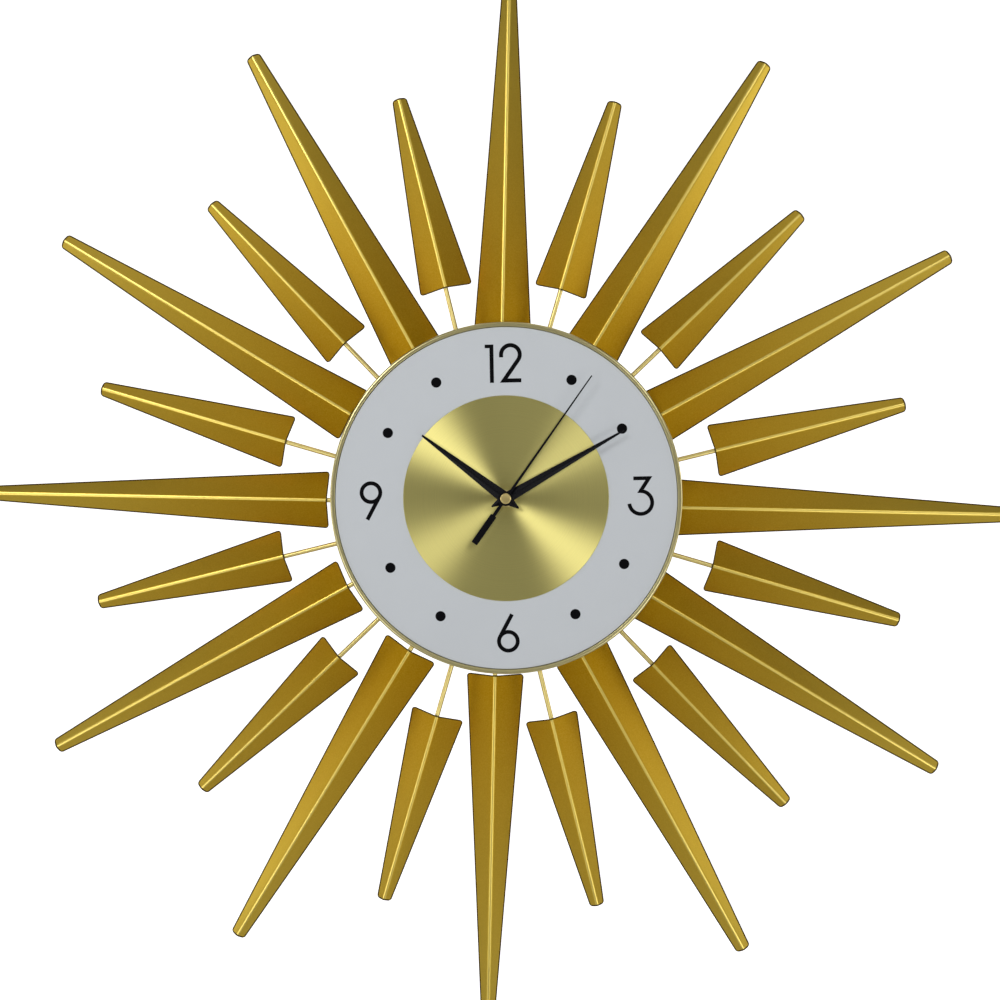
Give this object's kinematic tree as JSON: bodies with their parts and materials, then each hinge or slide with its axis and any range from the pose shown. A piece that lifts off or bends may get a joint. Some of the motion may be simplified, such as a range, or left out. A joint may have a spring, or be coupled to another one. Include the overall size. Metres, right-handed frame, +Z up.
{
  "type": "sunburst wall clock",
  "caption": "Round wall clock ringed by long and short folded gold rays on rods, with three hands and a battery quartz movement behind the dial.",
  "frame": {"origin": "on the hands' axis, at the wall plane, which is the movement's rear cover face", "axes": "+Z up to twelve, +X to three as seen from the front, the face looks along -Y and +Y runs into the wall"},
  "size_m": [0.699, 0.0371, 0.699],
  "materials": {
    "ray_gold": "satin olive-gold paint on folded steel sheet",
    "rod_gold": "bright brass plate on steel rod",
    "pan_gold": "pale gold, fine spun lines",
    "disc_gold": "pale gold, brushed in circles",
    "dial_white": "fibreboard disc with a matt cool white printed face",
    "hand_black": "satin black paint on thin sheet",
    "brass": "turned brass",
    "steel": "zinc-plated steel",
    "rubber": "matt black rubber",
    "case_plastic": "moulded black plastic with a fine texture",
    "gear_plastic": "natural moulded acetal",
    "board_green": "green solder resist",
    "copper": "enamelled copper winding",
    "magnet": "dark sintered magnet",
    "battery_wrap": "plain printed wrap over a steel can"
  },
  "bodies": {
    "clock_body": {"long_ray_01": "ray_gold", "short_ray_01": "ray_gold", "long_ray_02": "ray_gold", "short_ray_02": "ray_gold", "long_ray_03": "ray_gold", "short_ray_03": "ray_gold", "long_ray_04": "ray_gold", "short_ray_04": "ray_gold", "long_ray_05": "ray_gold", "short_ray_05": "ray_gold", "long_ray_06": "ray_gold", "short_ray_06": "ray_gold", "long_ray_07": "ray_gold", "short_ray_07": "ray_gold", "long_ray_08": "ray_gold", "short_ray_08": "ray_gold", "long_ray_09": "ray_gold", "short_ray_09": "ray_gold", "long_ray_10": "ray_gold", "short_ray_10": "ray_gold", "long_ray_11": "ray_gold", "short_ray_11": "ray_gold", "long_ray_12": "ray_gold", "short_ray_12": "ray_gold", "ray_frame": "rod_gold", "dial_pan": "pan_gold", "dial_board": "dial_white", "centre_disc": "disc_gold", "pan_screw_1": "steel", "pan_screw_2": "steel", "pan_screw_3": "steel", "bush_washer": "steel", "bush_nut": "brass", "rubber_washer": "rubber", "hanger": "steel", "front_case": "case_plastic", "rear_cover": "case_plastic", "threaded_bush": "brass", "mid_plate": "gear_plastic", "train_bridge": "gear_plastic", "circuit_board": "board_green", "quartz_crystal": "steel", "coil": "copper", "stator": "steel", "contact_positive": "steel", "contact_negative": "steel"},
    "minute_arbor": {"centre_wheel": "gear_plastic", "minute_hand": "hand_black", "minute_nut": "brass"},
    "hour_arbor": {"hour_wheel": "gear_plastic", "hour_hand": "hand_black"},
    "second_arbor": {"second_wheel": "gear_plastic", "second_hand": "hand_black", "second_cap": "brass"},
    "third_arbor": {"third_wheel": "gear_plastic"},
    "step_arbor": {"step_wheel": "gear_plastic"},
    "rotor_arbor": {"rotor": "magnet"},
    "motion_arbor": {"minute_wheel": "gear_plastic"},
    "knob_arbor": {"setting_knob": "gear_plastic"},
    "battery_cell": {"battery": "battery_wrap"}
  },
  "joints": [
    {"name": "minute_turn", "type": "hinge", "parent": "clock_body", "child": "minute_arbor", "pos_m": [0, -0.01, 0], "axis": [0, 1, 0], "continuous": true},
    {"name": "hour_turn", "type": "hinge", "parent": "clock_body", "child": "hour_arbor", "pos_m": [0, -0.01, 0], "axis": [0, 1, 0], "continuous": true},
    {"name": "second_turn", "type": "hinge", "parent": "clock_body", "child": "second_arbor", "pos_m": [0, -0.01, 0], "axis": [0, 1, 0], "continuous": true},
    {"name": "third_turn", "type": "hinge", "parent": "clock_body", "child": "third_arbor", "pos_m": [-0.00982, -0.01, 0.00567], "axis": [0, 1, 0], "continuous": true},
    {"name": "step_turn", "type": "hinge", "parent": "clock_body", "child": "step_arbor", "pos_m": [0.00504, -0.01, 0.00873], "axis": [0, 1, 0], "continuous": true},
    {"name": "rotor_turn", "type": "hinge", "parent": "clock_body", "child": "rotor_arbor", "pos_m": [0.01399, -0.01, 0.01199], "axis": [0, 1, 0], "continuous": true},
    {"name": "motion_turn", "type": "hinge", "parent": "clock_body", "child": "motion_arbor", "pos_m": [0.0096, -0.01, 0], "axis": [0, 1, 0], "continuous": true},
    {"name": "knob_turn", "type": "hinge", "parent": "clock_body", "child": "knob_arbor", "pos_m": [0.01825, -0.01, -0.00315], "axis": [0, 1, 0], "continuous": true},
    {"name": "battery_slide", "type": "slide", "parent": "clock_body", "child": "battery_cell", "axis": [0, 1, 0], "range_m": [0, 0.02]}
  ],
  "couplings": [
    {"joint": "hour_turn", "follows": "minute_turn", "ratio": 0.083333},
    {"joint": "second_turn", "follows": "minute_turn", "ratio": 60},
    {"joint": "third_turn", "follows": "minute_turn", "ratio": -7.5},
    {"joint": "step_turn", "follows": "minute_turn", "ratio": -300},
    {"joint": "rotor_turn", "follows": "minute_turn", "ratio": 1800},
    {"joint": "motion_turn", "follows": "minute_turn", "ratio": -0.33333},
    {"joint": "knob_turn", "follows": "minute_turn", "ratio": 1.2}
  ]
}
